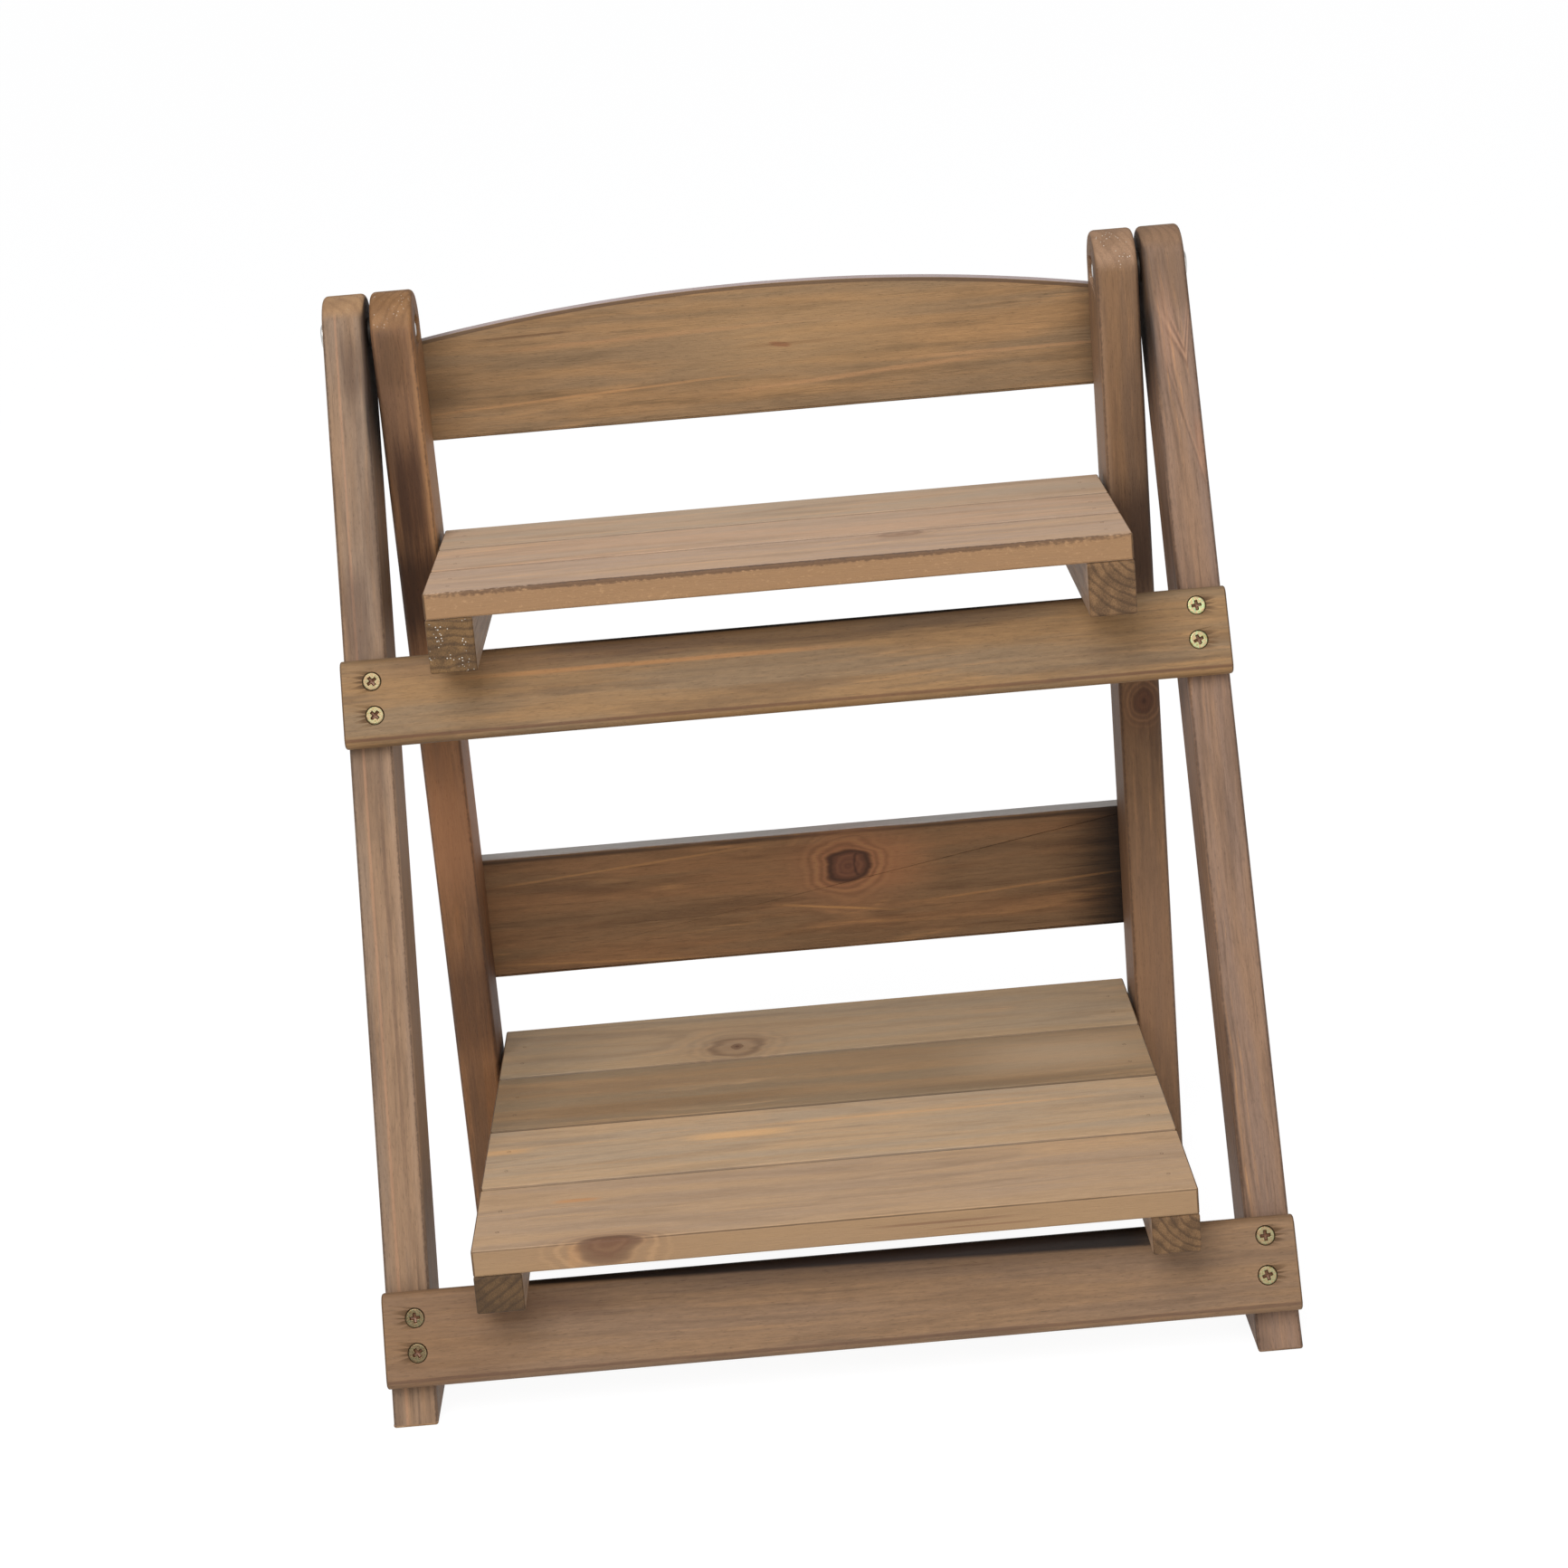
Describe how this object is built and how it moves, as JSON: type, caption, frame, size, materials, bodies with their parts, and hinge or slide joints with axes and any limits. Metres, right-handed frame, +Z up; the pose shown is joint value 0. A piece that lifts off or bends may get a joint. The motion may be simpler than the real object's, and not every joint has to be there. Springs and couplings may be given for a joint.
{
  "type": "folding plant ladder stand",
  "caption": "Folding wooden plant stand: a leaning front frame hinged to a back frame, with a small upper and a deeper lower slatted shelf that hinge up flat.",
  "frame": {"origin": "on the floor under the middle of the stand's bounding box", "axes": "+Z up, +X to the right seen from the front, +Y to the back; the front frame and its crossbars face -Y"},
  "size_m": [0.4048, 0.261, 0.4715],
  "materials": {
    "outer_leg_wood": "brown stained softwood, matt",
    "inner_leg_wood": "brown stained softwood, matt",
    "crossbar_wood": "brown stained softwood, matt",
    "rail_wood": "brown stained softwood, matt",
    "slat_wood": "light brown stained softwood, matt",
    "bearer_wood": "brown stained softwood, matt",
    "zinc_screw": "yellow zinc plated",
    "steel": "bright zinc plated"
  },
  "bodies": {
    "back_frame": {"left_inner_leg": "inner_leg_wood", "right_inner_leg": "inner_leg_wood", "arched_top_rail": "rail_wood", "lower_back_rail": "rail_wood", "arched_rail_screws": "zinc_screw", "back_rail_screws": "zinc_screw"},
    "front_frame": {"left_outer_leg": "outer_leg_wood", "right_outer_leg": "outer_leg_wood", "mid_crossbar": "crossbar_wood", "bottom_crossbar": "crossbar_wood", "mid_crossbar_screws": "zinc_screw", "bottom_crossbar_screws": "zinc_screw", "pivot_bolts": "steel", "pivot_spacers": "steel", "pivot_washers": "steel", "pivot_nuts": "steel"},
    "upper_shelf": {"upper_slat_front": "slat_wood", "upper_slat_middle": "slat_wood", "upper_slat_back": "slat_wood", "upper_left_bearer": "bearer_wood", "upper_right_bearer": "bearer_wood", "upper_slat_nails": "steel", "upper_shelf_pivots": "steel"},
    "lower_shelf": {"lower_slat_front": "slat_wood", "lower_slat_mid_front": "slat_wood", "lower_slat_mid_back": "slat_wood", "lower_slat_back": "slat_wood", "lower_left_bearer": "bearer_wood", "lower_right_bearer": "bearer_wood", "lower_slat_nails": "steel", "lower_shelf_pivots": "steel"}
  },
  "joints": [
    {"name": "frame_fold", "type": "hinge", "parent": "back_frame", "child": "front_frame", "pos_m": [0, 0.08468, 0.4527], "axis": [1, 0, 0], "range_deg": [0, 24.8]},
    {"name": "upper_shelf_lift", "type": "hinge", "parent": "back_frame", "child": "upper_shelf", "pos_m": [0, 0.09081, 0.33579], "axis": [-1, 0, 0], "range_deg": [0, 87]},
    {"name": "lower_shelf_lift", "type": "hinge", "parent": "back_frame", "child": "lower_shelf", "pos_m": [0, 0.10479, 0.06899], "axis": [-1, 0, 0], "range_deg": [0, 87]}
  ]
}
